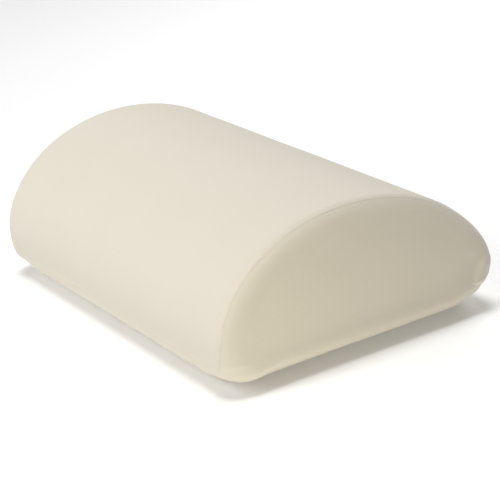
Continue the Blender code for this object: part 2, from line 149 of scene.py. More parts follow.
def add_node(
    tree: bpy.types.NodeTree, kind: str, feeds: Mapping[str | int, object] | None = None, **settings: object
) -> bpy.types.Node:
    """Adds a node with its settings and links.

    Args:
        tree: The node tree of the material.
        kind: The node's type name.
        feeds: For each input, by name or number, the output that feeds it or its own value.
        **settings: The node's own properties.

    Returns:
        The new node.
    """
    node = tree.nodes.new(kind)
    for key, value in settings.items():
        setattr(node, key, value)
    for socket, source in (feeds or {}).items():
        if isinstance(source, bpy.types.NodeSocket):
            tree.links.new(source, node.inputs[socket])
        else:
            node.inputs[socket].default_value = source
    return node


# Finishes


@dataclass(frozen=True)
class Finish:
    """What every finish has: a name, a colour, its roughness and how the shader's plain sockets are set.

    Its pattern can raise the surface by the relief, paint shade into its colour where the surface is low,
    and make the roughness vary from the blur's first number below its own value to the second above it.
    """

    name: str
    colour: str
    roughness: float
    shader: tuple[tuple[str, object], ...] = ()
    relief: float = 0.0
    # The colour painted where the pattern sinks, as shade in its hollows.
    painted_shade: str = ""
    blur: tuple[float, float] = (0.0, 0.0)

    def start(self) -> tuple[bpy.types.Material, bpy.types.NodeTree]:
        """Makes the material with its shader.

        Returns:
            The material and its node tree.
        """
        made = bpy.data.materials.new(self.name)
        made.use_nodes = True
        plain = (("Base Color", linear(self.colour)), ("Roughness", self.roughness))
        for socket, value in plain + self.shader:
            made.node_tree.nodes["Principled BSDF"].inputs[socket].default_value = value
        return made, made.node_tree

    def drive(
        self,
        tree: bpy.types.NodeTree,
        height: bpy.types.NodeSocket | None = None,
        lit: bpy.types.NodeSocket | None = None,
        dull: bpy.types.NodeSocket | None = None,
    ) -> None:
        """Lets the finish's pattern drive its shader.

        Args:
            tree: The node tree of the material.
            height: What raises the surface.
            lit: Gives 0 where the painted shade shows and 1 where the finish's own colour does.
            dull: Gives 0 where the surface is least rough and 1 where it is roughest.
        """
        shader = tree.nodes["Principled BSDF"]
        if height is not None:
            bump = add_node(tree, "ShaderNodeBump", {"Height": height, "Distance": self.relief})
            tree.links.new(bump.outputs[0], shader.inputs["Normal"])
        if lit is not None:
            # Paints the shade into the colour where the pattern is low.
            tints = {0: lit, 6: linear(self.painted_shade), 7: linear(self.colour)}
            mix = add_node(tree, "ShaderNodeMix", tints, data_type="RGBA")
            tree.links.new(mix.outputs[2], shader.inputs["Base Color"])
        if dull is not None:
            below, above = self.blur
            wanted = {"Value": dull, "To Min": self.roughness - below, "To Max": self.roughness + above}
            spread = add_node(tree, "ShaderNodeMapRange", wanted)
            tree.links.new(spread.outputs[0], shader.inputs["Roughness"])


@dataclass(frozen=True)
class KnitFinish(Finish):
    """A weft knit of fine yarn: columns of small V stitches, seen as a soft matt surface with a faint rib."""

    relief: float = 0.045 * MM
    # Painted shade between the stitches.
    painted_shade: str = "#ddd6c6"
    blur: tuple[float, float] = (0.08, 0.06)
    wale: float = 1.5 * MM
    course: float = 1.3 * MM
    slant: float = 1.1
    ripple: float = 0.4
    lint: float = 0.35
    lint_size: float = 0.7 * MM
    blotch: float = 0.5
    blotch_size: float = 55 * MM

    def make(self) -> bpy.types.Material:
        """Makes the knit from the piece's own UV, which holds real metres.

        Returns:
            The material.
        """
        made, tree = self.start()
        laid = add_node(tree, "ShaderNodeUVMap", uv_map=UV_NAME)
        scale = (1 / self.wale, 1 / self.course, 1.0)
        counted = add_node(tree, "ShaderNodeMapping", {"Vector": laid.outputs[0], "Scale": scale})
        split = add_node(tree, "ShaderNodeSeparateXYZ", {0: counted.outputs[0]})
        leg = add_node(tree, MATH, {0: split.outputs[0], 1: 0.5}, operation="PINGPONG")
        bulge = add_node(tree, MATH, {0: leg.outputs[0], 1: 2 * math.pi}, operation="MULTIPLY")
        crown = add_node(tree, MATH, {0: bulge.outputs[0]}, operation="SINE")
        leaning = {0: leg.outputs[0], 1: self.slant, 2: split.outputs[1]}
        lean = add_node(tree, MATH, leaning, operation="MULTIPLY_ADD")
        turned = add_node(tree, MATH, {0: lean.outputs[0], 1: 2 * math.pi}, operation="MULTIPLY")
        wave = add_node(tree, MATH, {0: turned.outputs[0]}, operation="SINE")
        rippled = {0: wave.outputs[0], 1: self.ripple, 2: 1 - self.ripple}
        rib = add_node(tree, MATH, rippled, operation="MULTIPLY_ADD")
        stitch = add_node(tree, MATH, {0: crown.outputs[0], 1: rib.outputs[0]}, operation="MULTIPLY")
        place = add_node(tree, "ShaderNodeTexCoord").outputs["Object"]
        fuzz = add_node(tree, "ShaderNodeTexNoise", {"Vector": place, "Scale": 1 / self.lint_size})
        linted = {0: fuzz.outputs[0], 1: self.lint, 2: stitch.outputs[0]}
        height = add_node(tree, MATH, linted, operation="MULTIPLY_ADD")
        clouded = {"Vector": place, "Scale": 1 / self.blotch_size, "Detail": 3.0}
        blotches = add_node(tree, "ShaderNodeTexNoise", clouded)
        # Painted shade in the hollows between stitches, varied by random blotches of tone.
        faded = {0: blotches.outputs[0], 1: self.blotch, 2: stitch.outputs[0]}
        lit = add_node(tree, MATH, faded, operation="MULTIPLY_ADD", use_clamp=True)
        self.drive(tree, height.outputs[0], lit.outputs[0], fuzz.outputs[0])
        return made


@dataclass(frozen=True)
class TwillFinish(Finish):
    """Woven polyester tape: herringbone twill, so fine diagonal ribs that turn back every few millimetres."""

    relief: float = 0.12 * MM
    # Painted shade between the ribs.
    painted_shade: str = "#c9bfab"
    rib: float = 0.9 * MM
    turn: float = 3.2 * MM

    def make(self) -> bpy.types.Material:
        """Makes the twill from the piece's own UV, which holds real metres.

        Returns:
            The material.
        """
        made, tree = self.start()
        laid = add_node(tree, "ShaderNodeUVMap", uv_map=UV_NAME)
        split = add_node(tree, "ShaderNodeSeparateXYZ", {0: laid.outputs[0]})
        folded = add_node(tree, MATH, {0: split.outputs[0], 1: self.turn}, operation="PINGPONG")
        summed = add_node(tree, MATH, {0: folded.outputs[0], 1: split.outputs[1]}, operation="ADD")
        turns = {0: summed.outputs[0], 1: 2 * math.pi / self.rib}
        phase = add_node(tree, MATH, turns, operation="MULTIPLY")
        ribs = add_node(tree, MATH, {0: phase.outputs[0]}, operation="SINE")
        share = add_node(tree, MATH, {0: ribs.outputs[0], 1: 0.5, 2: 0.5}, operation="MULTIPLY_ADD")
        # The ribs raise the surface and paint shade between them.
        self.drive(tree, share.outputs[0], share.outputs[0])
        return made


@dataclass(frozen=True)
class FoamFinish(Finish):
    """Moulded polyurethane foam: open cells under a thin torn skin, so a dull surface full of fine pits."""

    relief: float = 0.5 * MM
    # Painted shade in the pits.
    painted_shade: str = "#c9b887"
    cell: float = 1.4 * MM
    pit_range: tuple[float, float] = (0.15, 0.75)

    def make(self) -> bpy.types.Material:
        """Makes the pits from the distance to the middle of each cell, sunk and with shade painted into them.

        Returns:
            The material.
        """
        made, tree = self.start()
        place = add_node(tree, "ShaderNodeTexCoord").outputs["Object"]
        foamed = {"Vector": place, "Scale": 1 / self.cell}
        cells = add_node(tree, "ShaderNodeTexVoronoi", foamed, feature="F1")
        low, high = self.pit_range
        opened = {"Value": cells.outputs["Distance"], "From Min": low, "From Max": high}
        walls = add_node(tree, "ShaderNodeMapRange", opened)
        # The pits are sunk and have shade painted into them.
        self.drive(tree, walls.outputs[0], walls.outputs[0])
        return made


@dataclass(frozen=True)
class NylonFinish(Finish):
    """Nylon monofilament of a zip's coil: smooth extruded plastic with a satin gleam and faint marks."""

    relief: float = 0.01 * MM
    blur: tuple[float, float] = (0.1, 0.12)
    mark: float = 0.25 * MM

    def make(self) -> bpy.types.Material:
        """Makes the marks of drawing as a slight change of roughness and a very low relief.

        Returns:
            The material.
        """
        made, tree = self.start()
        place = add_node(tree, "ShaderNodeTexCoord").outputs["Object"]
        marks = add_node(tree, "ShaderNodeTexNoise", {"Vector": place, "Scale": 1 / self.mark})
        self.drive(tree, marks.outputs[0], dull=marks.outputs[0])
        return made


@dataclass(frozen=True)
class ThreadFinish(Finish):
    """Spun polyester thread: two plies twisted together, so slanting grooves along each stitch, with shade
    painted into them.
    """

    relief: float = 0.08 * MM
    # Painted shade between the plies.
    painted_shade: str = "#c6bca6"
    ply: float = 0.7 * MM
    twist: float = 35.0

    def make(self) -> bpy.types.Material:
        """Makes the twist from slanted bands, which raise the plies and paint shade between them.

        Returns:
            The material.
        """
        made, tree = self.start()
        place = add_node(tree, "ShaderNodeTexCoord").outputs["Object"]
        slanted = {"Vector": place, "Rotation": (math.radians(self.twist), 0.0, 0.0)}
        turned = add_node(tree, "ShaderNodeMapping", slanted)
        # At a scale of 1 the wave texture repeats every tenth of pi, hence the factor.
        plied = {"Vector": turned.outputs[0], "Scale": math.pi / 10 / self.ply}
        bands = add_node(tree, "ShaderNodeTexWave", plied, bands_direction="Y")
        self.drive(tree, bands.outputs["Fac"], bands.outputs["Fac"])
        return made


@dataclass(frozen=True)
class NickelFinish(Finish):
    """Nickel plated zinc casting, tumbled: a warm grey gleam, blurred unevenly by fine tumbling marks."""

    relief: float = 0.015 * MM
    blur: tuple[float, float] = (0.08, 0.12)
    mark: float = 0.8 * MM

    def make(self) -> bpy.types.Material:
        """Makes the tumbling marks as an uneven roughness and a very low relief.

        Returns:
            The material.
        """
        made, tree = self.start()
        place = add_node(tree, "ShaderNodeTexCoord").outputs["Object"]
        tumbled = {"Vector": place, "Scale": 1 / self.mark, "Detail": 4.0}
        marks = add_node(tree, "ShaderNodeTexNoise", tumbled)
        self.drive(tree, marks.outputs[0], dull=marks.outputs[0])
        return made


@dataclass(frozen=True)
class OpalTableFinish(Finish):
    """Opal acrylic light table: an even white that glows a little, so shadows on it stay pale."""

    blur: tuple[float, float] = (0.03, 0.03)
    cloud: float = 25 * MM

    def make(self) -> bpy.types.Material:
        """Makes the table with the slightest unevenness of its matt face.

        Returns:
            The material.
        """
        made, tree = self.start()
        place = add_node(tree, "ShaderNodeTexCoord").outputs["Object"]
        clouds = add_node(tree, "ShaderNodeTexNoise", {"Vector": place, "Scale": 1 / self.cloud})
        self.drive(tree, dull=clouds.outputs[0])
        return made


# The form that all soft layers follow


class End(IntEnum):
    """An end of the bolster, as the sign of its Y."""

    NEAR = -1
    FAR = 1


class Zone(Enum):
    """Which part of the bolster's length a row of points lies on, from the middle outwards."""

    STRAIGHT = "straight run, at a Y in metres"
    APPROACH = "straight run up to the end's rounding, at a share"
    BEFORE_SEAM = "end's rounding before the seam, at a share"
    SEAM = "beside the end seam, at metres past it"
    BEYOND_SEAM = "end's rounding past the seam, at a share"
    FACE = "flat end face, at a share from its rim to its middle"


@dataclass(frozen=True)
class Lane:
    """A row of points across the form: its zone, its place there, and its end, or 0 on the straight run."""

    zone: Zone
    at: float
    end: int = 0


@dataclass(frozen=True)
class BolsterForm:
    """The outside of the bolster, and every surface some way below it.

    A place across the form is its girth: the way along the outline from the zip's line, up over the dome,
    round the other base edge and back across the base.
    """

    length: float = 0.360
    width: float = 0.200
    height: float = 0.100
    edge_radius: float = 23 * MM
    edge_left_sharp: float = 1 * MM
    base_end_length: float = 47 * MM
    rim_depth: float = 16 * MM
    rim_length: float = 11 * MM
    # The angles round the outline between which the dome's end rounding goes over to the base's, and the
    # wider range that its length takes on the side away from the zip.
    blend: tuple[float, float] = (10.0, -30.0)
    plain_blend: tuple[float, float] = (20.0, -50.0)
    seam_turn: float = 30.0
    seam_reach: float = 4 * MM
    straight_half: float = 0.132
    face_middle: float = 45 * MM
    face_even_from: float = 0.25
    steps_per_degree: int = 4

    @cached_property
    def table(self) -> np.ndarray:
        """Lists the outline: its girth, what it turns about (x, z), the way it faces (x, z) and two shares.

        The shares say how far the ends' rounding has gone over from the dome's to the base's, first inwards
        and then lengthwise. Lengthwise it takes longer on the side away from the zip.

        Returns:
            One row for each quarter of a degree that the outline turns.
        """
        over_dome = np.linspace(0.0, 270.0, 270 * self.steps_per_degree + 1)
        zip_edge = np.linspace(-90.0, 0.0, 90 * self.steps_per_degree + 1)
        angles = np.concatenate([over_dome, zip_edge])
        sweep = np.radians(angles)
        side, rise = self.width / 2 - self.edge_radius, self.height - 2 * self.edge_radius
        across, up = side * np.cos(sweep), rise * np.sin(sweep)
        reach = np.hypot(across, up)
        dome = (angles >= 0) & (angles <= 180)
        x = np.where(dome, side * across / reach, np.where(angles > 180, -side, side))
        z = self.edge_radius + np.where(dome, rise * up / reach, 0.0)
        facing = np.column_stack([np.cos(sweep), np.sin(sweep)])
        outline = np.column_stack([x, z]) + self.edge_radius * facing
        walked = np.cumsum(np.hypot(*np.diff(outline, axis=0).T))
        lift = np.where(angles > 90, 180 - angles, angles)
        inwards, slower = (ease((top - lift) / (top - low)) for top, low in (self.blend, self.plain_blend))
        lengthwise = np.where(angles > 90, slower, inwards)
        return np.column_stack([np.concatenate([[0.0], walked]), x, z, facing, inwards, lengthwise])

    @property
    def base_seam(self) -> float:
        """The girth of the seam under the edge away from the zip."""
        return float(self.table[270 * self.steps_per_degree, 0])

    @property
    def whole(self) -> float:
        """The whole girth."""
        return float(self.table[-1, 0])

    def rounding(self, inwards: np.ndarray, lengthwise: np.ndarray) -> tuple[np.ndarray, np.ndarray]:
        """Gives how far the ends' rounding draws in and what length it takes, by the base's two shares."""
        deep = self.rim_depth + (self.edge_radius - self.edge_left_sharp - self.rim_depth) * inwards
        return deep, self.rim_length + (self.base_end_length - self.rim_length) * lengthwise

    @cached_property
    def face_walk(self) -> np.ndarray:
        """How far round the flat end face's own outline each row of the table lies.

        Returns:
            One distance for each row, from 0 at the zip's line.
        """
        _, x, z, out_x, out_z, *shares = self.table.T
        grown = self.edge_radius - self.rounding(*shares)[0]
        strides = np.hypot(np.diff(x + grown * out_x), np.diff(z + grown * out_z))
        return np.concatenate([[0.0], np.cumsum(strides)])

    def evened(self, girth: np.ndarray, share: float) -> np.ndarray:
        """Moves girths apart round the end face, whose small corners would crowd its spokes.

        Args:
            girth: The girths of one lane.
            share: How far in from the face's rim the lane lies.

        Returns:
            The girths, evenly spread round the face from a quarter of the way in.
        """
        own = np.interp(girth, self.table[:, 0], self.face_walk)
        even = np.linspace(own[0], own[-1], len(own))
        mixed = own + (even - own) * ease(np.array(share / self.face_even_from))
        return np.interp(mixed, self.face_walk, self.table[:, 0])

    def turn(self, lane: Lane, deep: np.ndarray, long: np.ndarray) -> np.ndarray:
        """Finds how far round the end's rounding a lane lies.

        Args:
            lane: The row of points.
            deep: How far the rounding draws in at each girth.
            long: How much of the length the rounding takes at each girth.

        Returns:
            The turn at each girth, from 0 on the straight run to 90 on the end face.
        """
        seam = math.radians(self.seam_turn)
        speed = np.hypot(deep * math.sin(seam), long * math.cos(seam))
        rolled = np.degrees(self.seam_reach / speed)
        if lane.zone is Zone.BEFORE_SEAM:
            return (self.seam_turn - rolled) * lane.at
        if lane.zone is Zone.SEAM:
            return self.seam_turn + np.degrees(lane.at / speed)
        if lane.zone is Zone.BEYOND_SEAM:
            start = self.seam_turn + rolled
            return start + (90.0 - start) * lane.at
        return np.full_like(deep, 90.0 if lane.zone is Zone.FACE else 0.0)

    def points(self, girth: np.ndarray, lane: Lane, depth: np.ndarray | float = 0.0) -> np.ndarray:
        """Gives the points of one lane.

        Args:
            girth: Where on the outline each point lies.
            lane: The row that they lie on.
            depth: How far below the outside each one lies.

        Returns:
            One point for each girth.
        """
        if lane.zone is Zone.FACE:
            girth = self.evened(girth, lane.at)
        columns = (np.interp(girth, self.table[:, 0], column) for column in self.table.T[1:])
        x, z, out_x, out_z, *shares = columns
        deep, long = self.rounding(*shares)
        turn = np.radians(self.turn(lane, deep, long))
        grown = self.edge_radius - depth - (deep - depth) * (1 - np.cos(turn))
        half = self.length / 2
        y = lane.end * (half - depth - (long - depth) * (1 - np.sin(turn)))
        if lane.zone is Zone.STRAIGHT:
            y = np.full_like(girth, lane.at)
        elif lane.zone is Zone.APPROACH:
            y = lane.end * (self.straight_half + (half - long - self.straight_half) * lane.at)
        x, z = x + grown * out_x, z + grown * out_z
        if lane.zone is Zone.FACE:
            x, z = x * (1 - lane.at), self.face_middle + (z - self.face_middle) * (1 - lane.at)
        return np.column_stack([x, y, z])

    def outwards(self, end: End, zones: Mapping[Zone, np.ndarray]) -> list[Lane]:
        """Lists the lanes of one end, zone by zone, at the places wanted in each."""
        return [Lane(zone, float(at), end) for zone, places in zones.items() for at in places]

    def run(self, straight: np.ndarray, zones: Mapping[Zone, np.ndarray]) -> list[Lane]:
        """Lists the lanes at each straight Y with the same zones at both ends, from the near end on."""
        middle = [Lane(Zone.STRAIGHT, float(y)) for y in straight]
        return self.outwards(End.NEAR, zones)[::-1] + middle + self.outwards(End.FAR, zones)


# Laying a flat grid onto the form


@dataclass
class LaidGrid:
    """A flat grid, laid onto the form by its girths and lanes, and then pressed in or let out."""

    form: BolsterForm
    girths: np.ndarray
    lanes: list[Lane]

    @cached_property
    def rest(self) -> np.ndarray:
        """The points on the form's outside, by lane and girth."""
        return np.stack([self.form.points(self.girths, lane) for lane in self.lanes])

    @cached_property
    def along(self) -> np.ndarray:
        """How far each point lies from the first lane, along the cloth."""
        strides = np.linalg.norm(np.diff(self.rest, axis=0), axis=2)
        return np.concatenate([np.zeros((1, len(self.girths))), np.cumsum(strides, axis=0)])

    def strip_uv(self) -> np.ndarray:
        """Gives UV in metres for a panel whose columns run along the bolster."""
        return np.stack([np.broadcast_to(self.girths, self.along.shape), self.along], axis=2)

    def face_uv(self) -> np.ndarray:
        """Gives UV in metres for an end panel, seen flat from its end."""
        return self.rest[:, :, (0, 2)]

    def mesh(
        self,
        name: str,
        depth: np.ndarray | float,
        uv: np.ndarray,
        drop: Callable[[Vector], bool] | None = None,
        closed: bool = False,
    ) -> bpy.types.Object:
        """Builds the laid grid.

        Args:
            name: The new object's name.
            depth: How far below the outside each point goes, by lane and girth.
            uv: The UV of each point, by lane and girth.
            drop: Tells for a face's middle whether the face is cut out.
            closed: Whether the grid closes on itself, so that its edges and poles are merged.

        Returns:
            The new object, smooth shaded, with its faces pointing outwards.
        """
        depth = np.broadcast_to(depth, self.along.shape)
        placed = [self.form.points(self.girths, lane, row) for lane, row in zip(self.lanes, depth)]
        columns, rows = len(self.girths), len(self.lanes)
        half = 0.5
        builder = bmesh.new()
        bmesh.ops.create_grid(builder, x_segments=columns - 1, y_segments=rows - 1, size=half)
        layer = builder.loops.layers.uv.new(UV_NAME)
        index = {
            vert: (round((vert.co.y + half) * (rows - 1)), round((vert.co.x + half) * (columns - 1)))
            for vert in builder.verts
        }
        for face in builder.faces:
            for corner in face.loops:
                corner[layer].uv = uv[index[corner.vert]]
        for vert, (row, column) in index.items():
            vert.co = placed[row][column]
            vert.co.z = max(vert.co.z, 0.0)
        if drop:
            cut = [face for face in builder.faces if drop(face.calc_center_median())]
            bmesh.ops.delete(builder, geom=cut, context="FACES")
        if closed:
            bmesh.ops.remove_doubles(builder, verts=builder.verts, dist=MERGE_GAP)
            bmesh.ops.dissolve_degenerate(builder, edges=builder.edges, dist=MERGE_GAP)
        builder.normal_update()
        middle = Vector((0.0, 0.0, self.form.face_middle))
        faces = builder.faces
        sides = [face.normal.dot(face.calc_center_median() - middle) * face.calc_area() for face in faces]
        if sum(sides) < 0:
            bmesh.ops.reverse_faces(builder, faces=builder.faces)
        return make_object(name, builder)


def make_object(name: str, builder: bmesh.types.BMesh, smooth: bool = True) -> bpy.types.Object:
    """Turns a finished bmesh into an object and frees it.

    Args:
        name: The object's name.
        builder: The finished mesh.
        smooth: Whether it is shaded as a round surface.

    Returns:
        The new object, at the origin.
    """
    mesh = bpy.data.meshes.new(name)
    builder.to_mesh(mesh)
    builder.free()
    if smooth:
        mesh.shade_smooth()
    return linked(name, mesh)


def dress(
    piece: bpy.types.Object, finish: bpy.types.Material, slot: str, *stands_for: str
) -> bpy.types.Object:
    """Gives a new piece its finish and its body, and hides the CAD nodes that it stands for.

    Args:
        piece: The new piece.
        finish: Its material.
        slot: The name of a material slot, which is not used.
        *stands_for: The CAD nodes.

    Returns:
        The same piece.
    """
    piece.data.materials.clear()
    piece.data.materials.append(finish)
    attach(piece, BODY)
    if stands_for:
        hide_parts(*stands_for)
    LOG.info("%s: %d faces", piece.name, len(piece.data.polygons))
    return piece


def thicken(piece: bpy.types.Object, thickness: float) -> None:
    """Gives a laid cloth its thickness, inwards from its outside.

    Args:
        piece: The cloth.
        thickness: How thick it becomes.
    """
    wall = piece.modifiers.new("cloth_thickness", "SOLIDIFY")
    wall.thickness = thickness
    wall.offset = -1.0
    wall.use_rim = True


def add_stitch(
    builder: bmesh.types.BMesh,
    place: Vector,
    size: tuple[float, float, float],
    tilt: float = 0.0,
    rings: int = 6,
) -> None:
    """Adds one stitch: a short length of thread whose ends sink into the cloth.

    Args:
        builder: The mesh of all stitches.
        place: Its middle.
        size: Its size along each axis, before it is tilted.
        tilt: How far it is turned about X.
        rings: How many rings of faces it has.
    """
    made = bmesh.ops.create_uvsphere(builder, u_segments=6, v_segments=rings, radius=0.5)["verts"]
    turned = Matrix.Rotation(math.radians(tilt), 3, "X")
    bmesh.ops.scale(builder, verts=made, vec=size)
    bmesh.ops.rotate(builder, verts=made, cent=(0, 0, 0), matrix=turned)
    bmesh.ops.translate(builder, verts=made, vec=place)


# How the cover swells and wrinkles


@dataclass
class Swelling:
    """How far the taut cover swells between its seams, from a cloth simulation of the whole cover."""

    form: BolsterForm
    column: float = 5 * MM
    row: float = 8 * MM
    straight_half: float = 0.125
    voxel: float = 5 * MM
    inset: float = 1 * MM
    seam_step: float = 3 * MM
    seam_half_length: float = 0.165
    sewn_width: float = 12 * MM
    quality: int = 6
    mass: float = 0.3
    stretch: float = 12.0
    shear: float = 6.0
    bending: float = 0.4
    pressure: float = 4.0
    frames: int = 20
    cap: float = 1.6 * MM
    neighbours: int = 6
    tree: KDTree | None = None
    values: np.ndarray = field(default_factory=lambda: np.zeros(0))

    def closed_skin(self) -> bpy.types.Object:
        """Makes the whole cover as one closed voxel mesh, a little smaller than the form.

        Returns:
            The closed cover, at rest.
        """
        form = self.form
        shares = np.linspace(0.0, 1.0, 5)
        zones = {
            Zone.APPROACH: shares,
            Zone.BEFORE_SEAM: shares,
            Zone.BEYOND_SEAM: shares,
            Zone.FACE: np.linspace(0.1, 1.0, 8),
        }
        straight = spaced(-self.straight_half, self.straight_half, self.row)
        grid = LaidGrid(form, spaced(0.0, form.whole, self.column), form.run(straight, zones))
        skin = grid.mesh("swelling_form", self.inset, grid.strip_uv(), closed=True)
        remesh = skin.modifiers.new("voxels", "REMESH")
        remesh.mode = "VOXEL"
        remesh.voxel_size = self.voxel
        graph = bpy.context.evaluated_depsgraph_get()
        mesh = bpy.data.meshes.new_from_object(skin.evaluated_get(graph))
        bpy.data.objects.remove(skin, do_unlink=True)
        return linked("swelling_cover", mesh)

    def seam_points(self) -> KDTree:
        """Lists the points of all seams, which the simulation holds.

        Returns:
            The points, sorted for finding the nearest one.
        """
        form = self.form
        girths = spaced(0.0, form.whole, self.seam_step)
        lines = [form.points(girths, Lane(Zone.SEAM, 0.0, end)) for end in End]
        long_seams = np.array([0.0, form.base_seam])
        run = spaced(-self.seam_half_length, self.seam_half_length, self.seam_step)
        lines += [form.points(long_seams, lane) for lane in form.run(run, {})]
        return search_tree(np.concatenate(lines))

    def make_cloth(self, cover: bpy.types.Object) -> None:
        """Gives the cover its cloth modifier, under pressure and held at its seams.

        Args:
            cover: The closed cover.
        """
        seams = self.seam_points()
        sewn = cover.vertex_groups.new(name="sewn")
        for vert in cover.data.vertices:
            gap = seams.find(vert.co)[2]
            sewn.add([vert.index], 1.0 - min(gap / self.sewn_width, 1.0), "REPLACE")
        settings = cover.modifiers.new("cloth", "CLOTH").settings
        settings.quality = self.quality
        settings.mass = self.mass
        settings.tension_stiffness = self.stretch
        settings.compression_stiffness = self.stretch
        settings.shear_stiffness = self.shear
        settings.bending_stiffness = self.bending
        settings.use_pressure = True
        settings.uniform_pressure_force = self.pressure
        settings.vertex_group_mass = sewn.name
        settings.effector_weights.gravity = 0.0

    def simulate(self) -> None:
        """Runs the cloth and keeps how far each of its points has moved outwards."""
        cover = self.closed_skin()
        self.make_cloth(cover)
        scene = bpy.context.scene
        for number in range(1, self.frames + 1):
            scene.frame_set(number)
        evaluated = cover.evaluated_get(bpy.context.evaluated_depsgraph_get())
        rest = np.array([vert.co for vert in cover.data.vertices])
        normals = np.array([vert.normal for vert in cover.data.vertices])
        moved = np.array([vert.co for vert in evaluated.data.vertices])
        swollen = np.einsum("ij,ij->i", moved - rest, normals)
        self.values = np.clip(swollen, -self.cap / 2, self.cap)
        self.tree = search_tree(rest)
        scene.frame_set(1)
        bpy.data.objects.remove(cover, do_unlink=True)
        low, high = self.values.min() / MM, self.values.max() / MM
        LOG.info("swelling: %d points, %.2f to %.2f mm", len(rest), low, high)

    def outward(self, points: np.ndarray) -> np.ndarray:
        """Samples how far the cover swells.

        Args:
            points: The points, with their coordinates in the last axis.

        Returns:
            The swelling at each point, in metres.
        """
        if self.tree is None:
            return np.zeros(points.shape[:-1])
        softened = self.voxel / 4
        swollen = []
        for point in points.reshape(-1, 3):
            near = self.tree.find_n(point, self.neighbours)
            weights = [1 / (distance + softened) ** 2 for _, _, distance in near]
            values = [weight * self.values[row] for weight, (_, row, _) in zip(weights, near)]
            swollen.append(sum(values) / sum(weights))
        return np.array(swollen).reshape(points.shape[:-1])


